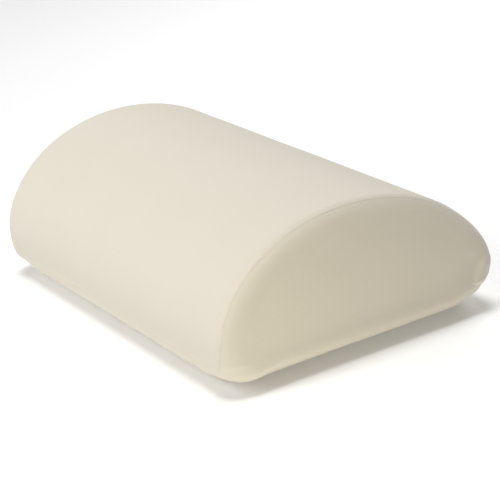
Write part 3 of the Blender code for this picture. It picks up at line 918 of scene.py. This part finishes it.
@dataclass(frozen=True)
class ClothRelief:
    """The small shapes that sewing leaves in a close cover, each as a depth below the form's outside."""

    swelling: Swelling
    inset: float = 0.6 * MM
    rest_height: float = 6 * MM
    swell_start: float = 14 * MM
    swell_rise: float = 46 * MM
    ripple: float = 0.22 * MM
    ripple_wave: float = 45 * MM
    ripple_lengthwise: float = 0.6
    roll: float = 0.16 * MM
    roll_share: float = 0.998
    pucker: float = 0.16 * MM
    pucker_wave: float = 6 * MM
    pucker_longer: float = 2.7
    pucker_shift: float = 9.0
    pucker_start: float = 0.8 * MM
    pucker_reach: float = 5 * MM
    # The crisp side of the tuck, as x and z in millimetres, from the end's rim inwards and down.
    tuck_line: tuple[tuple[float, float], ...] = (
        (95.0, 40.5),
        (88.5, 38.5),
        (83.5, 34.0),
        (80.5, 28.0),
        (78.5, 20.0),
    )
    tuck_rise: float = 1.3 * MM
    tuck_sink: float = 2.0 * MM
    tuck_lead: float = 15 * MM
    tuck_width: float = 5.5 * MM
    tuck_tail: float = 7 * MM
    tuck_taper: float = 0.9
    tuck_start: float = 169 * MM
    tuck_fade: float = 8 * MM
    tuck_lift: float = 8 * MM
    tuck_far: float = 0.6
    # Slack cloth beside the tuck: x, z, spread and rise of each swell or hollow, in millimetres.
    slack: tuple[tuple[float, float, float, float], ...] = (
        (97.0, 44.0, 20.0, 1.6),
        (95.0, 24.0, 6.0, -1.0),
        (88.0, 18.0, 6.0, 1.2),
        (80.0, 8.0, 8.0, -1.2),
    )
    slack_start: float = 0.148
    slack_fade: float = 0.022
    foot_fill: float = 2.6 * MM
    foot_height: float = 13 * MM
    foot_spread: float = 7 * MM
    foot_start: float = 0.150
    foot_rise: float = 0.020
    foot_reach: float = 62 * MM
    foot_fade: float = 22 * MM
    foot_corner: float = 0.6

    def rolled(self, gap: np.ndarray) -> np.ndarray:
        """Gives how deep the cloth rolls in at a gap from a seam: a quarter round that ends in the seam."""
        left = np.clip(1 - gap / self.roll, 0.0, 1.0)
        return self.roll * (1 - np.sqrt(1 - self.roll_share * left * left))

    def puckered(self, gap: np.ndarray, seam: np.ndarray) -> np.ndarray:
        """Gives the small gathers that run out from a seam.

        Args:
            gap: The distance from the seam.
            seam: For each point the point of the seam that it lies beside.

        Returns:
            The depth.
        """
        short = smooth_noise(seam, self.pucker_wave)
        longer = smooth_noise(seam, self.pucker_wave * self.pucker_longer, self.pucker_shift)
        fade = np.exp(-gap / self.pucker_reach) * (1 - np.exp(-gap / self.pucker_start))
        return self.pucker * (short + 0.5 * longer) * fade

    def tucked(self, points: np.ndarray) -> np.ndarray:
        """Gives the tuck in each end's lower corner by the zip: a fold with one crisp side, in slack cloth.

        Args:
            points: The points on the form's outside.

        Returns:
            The depth, which is 0 on the side away from the zip.
        """
        x, y, z = np.moveaxis(points, -1, 0)
        here = np.stack([x, z], axis=-1)
        line = np.array(self.tuck_line) * MM
        lengths = np.linalg.norm(np.diff(line, axis=0), axis=1)
        gap = np.full_like(x, np.inf)
        beside, walked, slack = np.zeros_like(x), np.zeros_like(x), np.zeros_like(x)
        for number, (start, stop) in enumerate(zip(line, line[1:])):
            stretch = stop - start
            share = np.clip(((here - start) @ stretch) / (stretch @ stretch), 0.0, 1.0)
            off = here - start - share[..., None] * stretch
            distance = np.linalg.norm(off, axis=-1)
            nearer = distance < gap
            gap = np.where(nearer, distance, gap)
            turned = off[..., 1] * stretch[0] - off[..., 0] * stretch[1]
            beside = np.where(nearer, turned / lengths[number], beside)
            along = (lengths[:number].sum() + share * lengths[number]) / lengths.sum()
            walked = np.where(nearer, along, walked)
        rising = np.clip(beside / self.tuck_width, 0.0, 1.0)
        falling = 1 - ease((beside - self.tuck_width) / self.tuck_tail)
        sinking = (1 - rising) * (1 - ease(-beside / self.tuck_lead))
        fold = self.tuck_rise * rising * falling - self.tuck_sink * sinking
        fold = fold * ease((np.abs(y) - self.tuck_start) / self.tuck_fade)
        fold = fold * np.sin(np.pi * walked) ** self.tuck_taper
        for across, up, spread, rise in np.array(self.slack) * MM:
            slack += rise * np.exp(-((np.hypot(x - across, z - up) / spread) ** 2))
        held = ease((np.abs(y) - self.slack_start) / self.slack_fade) * np.clip(z / self.tuck_lift, 0.0, 1.0)
        corner = np.where(x < 0, 0.0, 1.0) * np.where(y < 0, 1.0, self.tuck_far)
        return -(fold + slack) * held * corner

    def footed(self, points: np.ndarray) -> np.ndarray:
        """Gives how full the foam fills the foot of each end, where the end panel turns under.

        Args:
            points: The points on the form's outside.

        Returns:
            The depth, which fades out before the tucked corners on the zip's side.
        """
        x, y, z = np.moveaxis(points, -1, 0)
        height = (z - self.foot_height) / self.foot_spread
        held = ease((np.abs(y) - self.foot_start) / self.foot_rise)
        before_tuck = 1 - ease((x - self.foot_reach) / self.foot_fade)
        corner = 1 + self.foot_corner * ease((-x - self.foot_reach) / self.foot_fade)
        return -self.foot_fill * np.exp(-(height**2)) * held * before_tuck * corner

    def loose(self, points: np.ndarray) -> np.ndarray:
        """Gives what all panels share: the swelling, a slight unevenness, the corner tucks and the full foot.

        Args:
            points: The points on the form's outside.

        Returns:
            The depth. The swelling and the unevenness fade out where the bolster rests on its base.
        """
        height = points[..., 2]
        drawn_out = np.array([1.0, self.ripple_lengthwise, 1.0])
        uneven = self.ripple * smooth_noise(points * drawn_out, self.ripple_wave)
        above_foot = ease((height - self.swell_start) / self.swell_rise)
        depth = self.inset - self.swelling.outward(points) * above_foot + uneven
        settled = depth * np.clip(height / self.rest_height, 0.0, 1.0)
        return settled + self.tucked(points) + self.footed(points)


# The cover


# How far from a seam its rows of points lie, closest where the cloth rolls in.
SEAM_STEPS = np.array([0.0, 0.12, 0.28, 0.5, 0.8, 1.2, 1.8, 2.8, 4.0]) * MM


@dataclass
class SewnCover:
    """The four sewn panels of the cover and the stitching round the zip's slot."""

    form: BolsterForm
    relief: ClothRelief
    slot_half_length: float = 0.122
    slot_half_width: float = 6 * MM
    slot_steps: tuple[float, ...] = (2.2 * MM, 3.4 * MM, 4.4 * MM)
    slot_fade: float = 2 * MM
    stitch_inset: float = 2.2 * MM
    stitch_dip: float = 0.28 * MM
    stitch_spread: float = 0.55 * MM
    stitch_length: float = 2.3 * MM
    stitch_pitch: float = 2.9 * MM
    stitch_width: float = 0.5 * MM
    cloth: float = 0.9 * MM
    column: float = 3 * MM
    edge_column: float = 1.6 * MM
    corner_column: float = 1.8 * MM
    row: float = 4 * MM
    plain_edge: float = 40 * MM
    zip_edge: float = 36 * MM
    plain_corner: float = 78 * MM
    zip_corner: float = 44 * MM
    flat_length: float = 0.366
    end_flat: tuple[float, float] = (0.196, 0.098)
    end_area: float = 0.0158

    def sleeve_lanes(self) -> list[Lane]:
        """Lists the lanes of a panel that runs from one end seam to the other.

        Returns:
            The lanes from the near end to the far one.
        """
        half = self.form.straight_half
        edge = self.slot_half_length + SEAM_STEPS
        straight = stations(spaced(-half, half, self.row), np.concatenate([-edge, edge]))
        # Each zone starts about a step past the end of the one before it.
        zones = {
            Zone.APPROACH: np.linspace(0.12, 1.0, 8),
            Zone.BEFORE_SEAM: np.linspace(0.08, 1.0, 12),
            Zone.SEAM: -SEAM_STEPS[-2::-1],
        }
        return self.form.run(straight, zones)

    def girths_of(self, start: float, stop: float) -> np.ndarray:
        """Lists the girths of a panel, finer round the base edges, beside its seams and beside the slot.

        Args:
            start: The panel's first girth.
            stop: Its last girth.

        Returns:
            The girths in rising order.
        """
        whole, seam = self.form.whole, self.form.base_seam
        beside_slot = np.concatenate([SEAM_STEPS[:-1], self.slot_steps]) + self.slot_half_width
        fine = [start + SEAM_STEPS, stop - SEAM_STEPS, beside_slot, whole - beside_slot]
        fine.append(spaced(seam - self.plain_edge, seam, self.edge_column))
        fine.append(spaced(whole - self.zip_edge, whole, self.edge_column))
        kept = np.concatenate(fine)
        kept = np.sort(kept[(kept >= start) & (kept <= stop)])
        kept = kept[np.concatenate([[True], np.diff(kept) > HAIR])]
        return stations(spaced(start, stop, self.column), kept)

    def beside_slot(self, grid: LaidGrid) -> np.ndarray:
        """Gives how far each point lies outside the zip's slot.

        Args:
            grid: The panel's grid.

        Returns:
            The distance from the slot's edge, negative inside it.
        """
        across = np.minimum(grid.girths, self.form.whole - grid.girths)[None, :] - self.slot_half_width
        ahead = np.abs(grid.rest[..., 1]) - self.slot_half_length
        outside = np.hypot(np.maximum(across, 0.0), np.maximum(ahead, 0.0))
        return np.where((across < 0) & (ahead < 0), np.maximum(across, ahead), outside)

    def sleeve_panel(self, name: str, start: float, stop: float) -> bpy.types.Object:
        """Makes a panel of the sleeve.

        Args:
            name: The piece's name.
            start: Its first girth.
            stop: Its last girth.

        Returns:
            The panel, without its finish.
        """
        relief = self.relief
        grid = LaidGrid(self.form, self.girths_of(start, stop), self.sleeve_lanes())
        rest = grid.rest
        depth = relief.loose(rest)
        ends = ((grid.along, rest[:1]), (grid.along[-1] - grid.along, rest[-1:]))
        for gap, seam in ends:
            depth = depth + relief.rolled(gap) + relief.puckered(gap, np.broadcast_to(seam, rest.shape))
        outside = self.beside_slot(grid)
        past_slot = ease((np.abs(rest[..., 1]) - self.slot_half_length) / self.slot_fade)
        for edge in (0, -1):
            gap = np.broadcast_to(np.abs(grid.girths - grid.girths[edge]), depth.shape)
            on_zip = min(grid.girths[edge], self.form.whole - grid.girths[edge]) < HAIR
            strength = past_slot if on_zip else 1.0
            seam = np.broadcast_to(rest[:, edge][:, None], rest.shape)
            depth = depth + strength * (relief.rolled(gap) + relief.puckered(gap, seam))
        pressed = np.exp(-(((outside - self.stitch_inset) / self.stitch_spread) ** 2))
        depth = depth + relief.rolled(np.maximum(outside, 0.0)) + self.stitch_dip * pressed
        return grid.mesh(name, depth, grid.strip_uv(), drop=self.in_slot)

    def in_slot(self, point: Vector) -> bool:
        """Tells whether a point of the sleeve lies in the zip's slot."""
        beside = abs(point.z - self.form.edge_radius) < self.slot_half_width - HAIR
        return beside and point.x > 0 and abs(point.y) < self.slot_half_length

    def end_panel(self, name: str, end: End) -> bpy.types.Object:
        """Makes the half moon panel that closes one end.

        Args:
            name: The piece's name.
            end: Which end it closes.

        Returns:
            The panel, without its finish.
        """
        form, relief = self.form, self.relief
        # On the face the lanes lie closest together beside its rim.
        zones = {
            Zone.SEAM: SEAM_STEPS[:-1],
            Zone.BEYOND_SEAM: np.linspace(0.0, 1.0, 11),
            Zone.FACE: np.concatenate([np.arange(0.02, 0.3, 0.025), np.linspace(0.32, 1.0, 18)]),
        }
        corners = [
            spaced(0.0, self.zip_corner, self.corner_column),
            spaced(form.base_seam - self.plain_corner, form.base_seam, self.corner_column),
            spaced(form.whole - self.zip_edge, form.whole, self.corner_column),
        ]
        girths = stations(spaced(0.0, form.whole, self.column), np.concatenate(corners))
        grid = LaidGrid(form, girths, form.outwards(end, zones))
        gap, seam = grid.along, np.broadcast_to(grid.rest[:1], grid.rest.shape)
        depth = relief.loose(grid.rest) + relief.rolled(gap) + relief.puckered(gap, seam)
        middle = np.array([lane.zone is Zone.FACE and lane.at == 1.0 for lane in grid.lanes])
        depth[middle] = depth[middle].mean()
        return grid.mesh(name, depth, grid.face_uv(), closed=True)

    def stitching(self) -> bpy.types.Object:
        """Makes the row of stitches that holds the zip in the slot.

        Returns:
            All stitches, as one piece without its finish.
        """
        builder = bmesh.new()
        depth = self.relief.inset + self.stitch_dip - self.stitch_width / 4
        size = (self.stitch_width, self.stitch_width, self.stitch_length)
        pitch, inset = self.stitch_pitch, self.stitch_inset
        side, reach = self.slot_half_width + inset, self.slot_half_length + inset
        along = spaced(-reach + pitch / 2, reach - pitch / 2, pitch)
        across = spaced(-side + pitch / 2, side - pitch / 2, pitch)
        places = [(girth, y, 90.0) for girth in (side, -side) for y in along]
        places += [(girth, y, 0.0) for y in (-reach, reach) for girth in across]
        for girth, y, tilt in places:
            lane = Lane(Zone.STRAIGHT, float(y))
            point = self.form.points(np.array([girth % self.form.whole]), lane, depth)[0]
            add_stitch(builder, Vector(point), size, tilt)
        return make_object("slot_stitching", builder)

    def build(self, cloth: bpy.types.Material, thread: bpy.types.Material, under: bpy.types.Object) -> None:
        """Builds and dresses the cover.

        Args:
            cloth: The panels' finish.
            thread: The stitches' finish.
            under: The piece that the cover is stretched over, which is not used.
        """
        form, run = self.form, self.flat_length
        top = self.sleeve_panel("cover_top_cloth", 0.0, form.base_seam)
        base = self.sleeve_panel("cover_base_cloth", form.base_seam, form.whole)
        near = self.end_panel("cover_end_cloth_near", End.NEAR)
        far = self.end_panel("cover_end_cloth_far", End.FAR)
        stitches = self.stitching()
        panels = {"top_panel": top, "base_panel": base, "end_panel_near": near, "end_panel_far": far}
        for node, piece in panels.items():
            thicken(piece, self.cloth)
            dress(piece, cloth, "cover_cloth", "cover_" + node)
        dress(stitches, thread, "tape_weave")
        form.base_seam
        form.whole - form.base_seam


# The foam block and its slip


@dataclass
class FoamAndSlip:
    """The moulded foam block, and the knitted slip that it sits in."""

    form: BolsterForm
    slip_depth: float = 2.0 * MM
    slip_thickness: float = 0.6 * MM
    slip_flat: tuple[float, float] = (0.49, 0.43)
    foam_depth: float = 3.0 * MM
    mouth: float = 0.38
    zip_reach: float = 0.1283
    # How deep the zip presses at some distances from its line, as distance and depth in millimetres.
    press_breaks: tuple[tuple[float, float], ...] = (
        (0.0, 2.5),
        (5.6, 2.5),
        (7.2, 0.9),
        (14.3, 0.9),
        (15.9, 0.0),
    )
    press_fade: float = 2 * MM
    column: float = 5 * MM
    row: float = 8 * MM

    def pressed(self, grid: LaidGrid) -> np.ndarray:
        """Gives how far the zip presses the foam in.

        Args:
            grid: The layer's grid.

        Returns:
            The extra depth of each point.
        """
        width = np.minimum(grid.girths, self.form.whole - grid.girths)
        breaks = np.array(self.press_breaks) * MM
        across = np.interp(width, breaks[:, 0], breaks[:, 1])
        held = 1 - ease((np.abs(grid.rest[..., 1]) - self.zip_reach) / self.press_fade)
        return across[None, :] * held

    def layer(self, name: str, depth: float, mouth: float | None) -> bpy.types.Object:
        """Makes a closed layer, or one with a mouth in its far end.

        Args:
            name: The piece's name.
            depth: How far below the outside it lies.
            mouth: How far from the far face's rim its mouth lies, as a share, or None.

        Returns:
            The layer.
        """
        form, half = self.form, self.form.straight_half
        breaks = np.array(self.press_breaks)[:, 0] * MM
        girths = stations(spaced(0.0, form.whole, self.column), breaks)
        girths = stations(girths, form.whole - breaks)
        shares = np.linspace(0.0, 1.0, 5)
        zones = {
            Zone.APPROACH: shares[1:],
            Zone.BEFORE_SEAM: shares[1:],
            Zone.SEAM: np.array([0.0]),
            Zone.BEYOND_SEAM: shares,
            Zone.FACE: np.linspace(0.1, 1.0, 10),
        }
        reach = np.array([self.zip_reach, self.zip_reach + self.press_fade])
        straight = stations(spaced(-half, half, self.row), np.concatenate([-reach, reach]))
        lanes = form.run(straight, zones)
        if mouth:
            beyond = [lane.zone is Zone.FACE and lane.end == End.FAR and lane.at > mouth for lane in lanes]
            lanes = [lane for lane, open_there in zip(lanes, beyond) if not open_there]
        grid = LaidGrid(form, girths, lanes)
        return grid.mesh(name, depth + self.pressed(grid), grid.strip_uv(), closed=True)

    def build(self, foam: bpy.types.Material, knit: bpy.types.Material) -> bpy.types.Object:
        """Builds and dresses the foam block and its slip.

        Args:
            foam: The block's finish.
            knit: The slip's finish.

        Returns:
            The slip, which the cover is stretched over.
        """
        block = dress(self.layer("foam_block", self.foam_depth, None), foam, "foam", "foam_core")
        slip = self.layer("liner_slip", self.slip_depth, self.mouth)
        thicken(slip, self.slip_thickness)
        dress(slip, knit, "liner_knit", "inner_liner")
        return slip


# The zip


class Row(IntEnum):
    """A tape of the zip and its row of coil, as the sign of where it lies from the zip's line."""

    UPPER = 1
    LOWER = -1


@dataclass
class CoilZip:
    """The nylon coil zip: two woven tapes, two rows of coil with their thread, and plated metal parts."""

    form: BolsterForm
    tape_depth: float = 1.85 * MM
    tape_thickness: float = 0.5 * MM
    tape_inner: float = 1.3 * MM
    tape_outer: float = 14.0 * MM
    tape_half_length: float = 0.128
    tape_column: float = 0.9 * MM
    tape_row: float = 4 * MM
    first: float = -117.0 * MM
    last: float = 112.0 * MM
    pitch: float = 1.1 * MM
    wire: float = 0.27 * MM
    wire_sides: int = 5
    loop_radius: float = 0.82 * MM
    loop_steps: int = 8
    loop_middle: float = -0.68 * MM
    head: float = -0.20 * MM
    back: float = 2.70 * MM
    thread_offset: float = 1.9 * MM
    thread_width: float = 0.38 * MM
    metal: tuple[str, ...] = (
        "zip_slider",
        "zip_pull",
        "zip_top_stop_upper",
        "zip_top_stop_lower",
        "zip_bottom_stop",
    )

    def tape(self, name: str, row: Row) -> bpy.types.Object:
        """Makes one tape.

        Args:
            name: The piece's name.
            row: Which tape it is.

        Returns:
            The tape, without its thickness.
        """
        across = spaced(self.tape_inner, self.tape_outer, self.tape_column)
        girths = across if row is Row.UPPER else np.sort(self.form.whole - across)
        run = spaced(-self.tape_half_length, self.tape_half_length, self.tape_row)
        grid = LaidGrid(self.form, girths, self.form.run(run, {}))
        return grid.mesh(name, self.tape_depth, grid.strip_uv())

    def coil(self, name: str, row: Row) -> bpy.types.Object:
        """Makes one row of coil, loop by loop: each is a ring of wire drawn out into a long round.

        Args:
            name: The piece's name.
            row: Which row it is.

        Returns:
            The row of loops.
        """
        builder = bmesh.new()
        ring = bmesh.ops.create_circle(builder, segments=self.wire_sides, radius=self.wire)["verts"]
        bmesh.ops.translate(builder, verts=ring, vec=(self.loop_radius, 0.0, 0.0))
        bmesh.ops.spin(
            builder,
            geom=builder.verts[:] + builder.edges[:],
            cent=(0, 0, 0),
            axis=(0, 1, 0),
            angle=2 * math.pi,
            steps=self.loop_steps,
            use_merge=True,
        )
        bmesh.ops.remove_doubles(builder, verts=builder.verts, dist=MERGE_GAP)
        bmesh.ops.recalc_face_normals(builder, faces=builder.faces)
        drawn = (self.back - self.head) / 2 - self.loop_radius
        for way in (-1, 1):
            half = [vert for vert in builder.verts if way * vert.co.z > MERGE_GAP]
            bmesh.ops.translate(builder, verts=half, vec=(0.0, 0.0, way * drawn))
        middle = self.form.edge_radius + row * (self.head + self.back) / 2
        start = self.first + (self.pitch / 2 if row is Row.LOWER else 0.0)
        place = Vector((self.form.width / 2 + self.loop_middle, start, middle))
        bmesh.ops.translate(builder, verts=builder.verts, vec=place)
        loop = builder.verts[:] + builder.edges[:] + builder.faces[:]
        for number in range(1, int((self.last - start) / self.pitch)):
            copied = bmesh.ops.duplicate(builder, geom=loop)["geom"]
            verts = [part for part in copied if isinstance(part, bmesh.types.BMVert)]
            bmesh.ops.translate(builder, verts=verts, vec=(0.0, number * self.pitch, 0.0))
        return make_object(name, builder)

    def coil_thread(self) -> bpy.types.Object:
        """Makes the two lines of thread that sew the coil to its tapes.

        Returns:
            Both lines, as one piece without its finish.
        """
        builder = bmesh.new()
        top = self.form.width / 2 + self.loop_middle + self.loop_radius + self.wire
        size = (self.thread_width, 2 * self.pitch, self.thread_width)
        for row in Row:
            height = self.form.edge_radius + row * self.thread_offset
            for y in spaced(self.first, self.last, 2 * self.pitch):
                add_stitch(builder, Vector((top, float(y), height)), size, rings=5)
        return make_object("zip_coil_thread", builder)

    def build(
        self,
        weave: bpy.types.Material,
        nylon: bpy.types.Material,
        thread: bpy.types.Material,
        nickel: bpy.types.Material,
    ) -> None:
        """Builds and dresses the zip.

        Args:
            weave: The tapes' finish.
            nylon: The coil's finish.
            thread: The sewing thread's finish.
            nickel: The metal parts' finish.
        """
        sewing = dress(self.coil_thread(), thread, "tape_weave")
        for row in Row:
            place = row.name.lower()
            coil = dress(self.coil("zip_coil_loops_" + place, row), nylon, "nylon", "zip_coil_" + place)
            tape = self.tape("zip_tape_woven_" + place, row)
            thicken(tape, self.tape_thickness)
            dress(tape, weave, "tape_weave", "zip_tape_" + place)
        for name in self.metal:
            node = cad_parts[name]
            node.data.materials.clear()
            node.data.materials.append(nickel)
            LOG.info("%s: the CAD piece, in %s", name, nickel.name)


# The studio


@dataclass(frozen=True)
class SoftBox:
    """A square soft light: where it stands, what it points at, its side, its power and its colour."""

    name: str
    place: tuple[float, float, float]
    target: tuple[float, float, float]
    side: float
    power: float
    colour: tuple[float, float, float] = (1.0, 1.0, 1.0)

    def build(self) -> None:
        """Sets the light up."""
        lamp = bpy.data.lights.new(self.name, "AREA")
        lamp.shape = "SQUARE"
        lamp.size = self.side
        lamp.energy = self.power
        lamp.color = self.colour
        stand = linked(self.name, lamp)
        stand.location = self.place
        aim = Vector(self.target) - Vector(self.place)
        stand.rotation_euler = aim.to_track_quat("-Z", "Y").to_euler()


@dataclass
class Studio:
    """The white table, the soft light and the camera at the photograph's angle."""

    azimuth: float = 24.403
    elevation: float = 19.034
    roll: float = -10.024
    distance: float = 1.4858
    aim_right: float = 0.0140
    aim_up: float = -0.0117
    aim_height: float = 0.040
    # The lens and the sensor are in millimetres.
    lens: float = 156.26
    sensor: float = 36.0
    clip: tuple[float, float] = (0.05, 100.0)
    table_radius: float = 25.0
    table_sides: int = 64
    world_colour: tuple[float, float, float] = (1.0, 1.0, 1.0)
    world_strength: float = 0.08
    ceiling_strength: float = 1.95
    ceiling_spread: float = 28.6
    boxes: tuple[SoftBox, ...] = (
        SoftBox("left_box", (-1.1, 0.0, 0.8), (0.0, 0.0, 0.04), 0.9, 6.1),
        SoftBox("left_back_box", (-1.1, 0.45, 0.8), (0.0, 0.0, 0.04), 0.9, 2.0),
        SoftBox("right_box", (0.8, 0.5, 0.6), (0.0, 0.05, 0.04), 0.5, 2.6),
        SoftBox("warm_low_box", (-0.17, -0.44, 0.04), (-0.06, -0.18, 0.02), 0.12, 0.13, (1.0, 0.81, 0.27)),
        SoftBox("low_box", (-0.10, -0.30, 0.03), (-0.07, -0.18, 0.02), 0.06, 0.015),
    )

    def table(self, finish: bpy.types.Material) -> None:
        """Makes the table, wide enough for every view.

        Args:
            finish: The table's finish.
        """
        builder = bmesh.new()
        bmesh.ops.create_circle(builder, cap_ends=True, segments=self.table_sides, radius=self.table_radius)
        floor = make_object("light_table", builder, smooth=False)
        floor.data.materials.append(finish)

    def lights(self) -> None:
        """Sets up the world, the wide bright ceiling, which shines straight down, and the soft boxes."""
        world = bpy.data.worlds.new("white_room")
        world.use_nodes = True
        sky = world.node_tree.nodes["Background"]
        sky.inputs["Color"].default_value = (*self.world_colour, 1.0)
        sky.inputs["Strength"].default_value = self.world_strength
        bpy.context.scene.world = world
        ceiling = bpy.data.lights.new("ceiling", "SUN")
        ceiling.energy = self.ceiling_strength
        ceiling.angle = math.radians(self.ceiling_spread)
        linked("ceiling", ceiling)
        for box in self.boxes:
            box.build()

    def camera(self) -> None:
        """Sets up the camera, as it was fitted to the bolster's outline in the photograph."""
        turn, lift, roll = (math.radians(angle) for angle in (self.azimuth, self.elevation, self.roll))
        back = Vector((-math.sin(turn) * math.cos(lift), -math.cos(turn) * math.cos(lift), math.sin(lift)))
        level = Vector((0.0, 0.0, 1.0)).cross(back)
        level.normalize()
        upright = back.cross(level)
        right = level * math.cos(roll) + upright * math.sin(roll)
        up = upright * math.cos(roll) - level * math.sin(roll)
        target = Vector((0.0, 0.0, self.aim_height)) + right * self.aim_right + up * self.aim_up
        lens = bpy.data.cameras.new("photo_camera")
        lens.lens = self.lens
        lens.sensor_width = self.sensor
        lens.clip_start, lens.clip_end = self.clip
        stand = linked("photo_camera", lens)
        stand.location = target + back * self.distance
        stand.rotation_euler = Matrix((right, up, back)).transposed().to_euler()
        bpy.context.scene.camera = stand

    def build(self, table: bpy.types.Material) -> None:
        """Sets the studio up.

        Args:
            table: The table's finish.
        """
        bpy.context.scene.view_settings.view_transform = "Standard"
        self.table(table)
        self.lights()
        self.camera()


# Everything together


def main() -> None:
    logging.basicConfig(level=logging.INFO, format="%(name)s: %(message)s")
    matt = (("Specular IOR Level", 0.3), ("Sheen Weight", 0.12), ("Sheen Roughness", 0.45))
    # Brushed polyester interlock: soft and matt. Its stitches are 0.7 mm wide, too fine to show, and are
    # drawn about twice as wide.
    cover_knit = KnitFinish("cream_interlock_knit", "#e4ded0", 0.88, matt).make()
    # The slip's knit has a paler painted shade between its stitches.
    slip_knit = KnitFinish("white_jersey_knit", "#edece8", 0.9, matt, wale=1.2 * MM, painted_shade="#dddcd6").make()
    foam = FoamFinish("moulded_polyurethane_foam", "#e8dcb0", 0.95).make()
    twill = TwillFinish("polyester_zip_tape", "#e2dac8", 0.8, (("Sheen Weight", 0.1),)).make()
    nylon = NylonFinish("nylon_monofilament", "#e6decb", 0.35, (("IOR", 1.53),)).make()
    thread = ThreadFinish("spun_polyester_thread", "#e9e2d2", 0.7, (("Sheen Weight", 0.15),)).make()
    nickel = NickelFinish("tumbled_nickel_plate", "#cfcac1", 0.28, (("Metallic", 1.0),)).make()
    glow = (("Emission Color", linear("#ffffff")), ("Emission Strength", 0.13))
    table = OpalTableFinish("opal_acrylic", "#f6f6f6", 0.6, glow).make()

    form = BolsterForm()
    slip = FoamAndSlip(form).build(foam, slip_knit)
    swelling = Swelling(form)
    swelling.simulate()
    SewnCover(form, ClothRelief(swelling)).build(cover_knit, thread, slip)
    CoilZip(form).build(twill, nylon, thread, nickel)
    Studio().build(table)


if __name__ == "__main__":
    main()
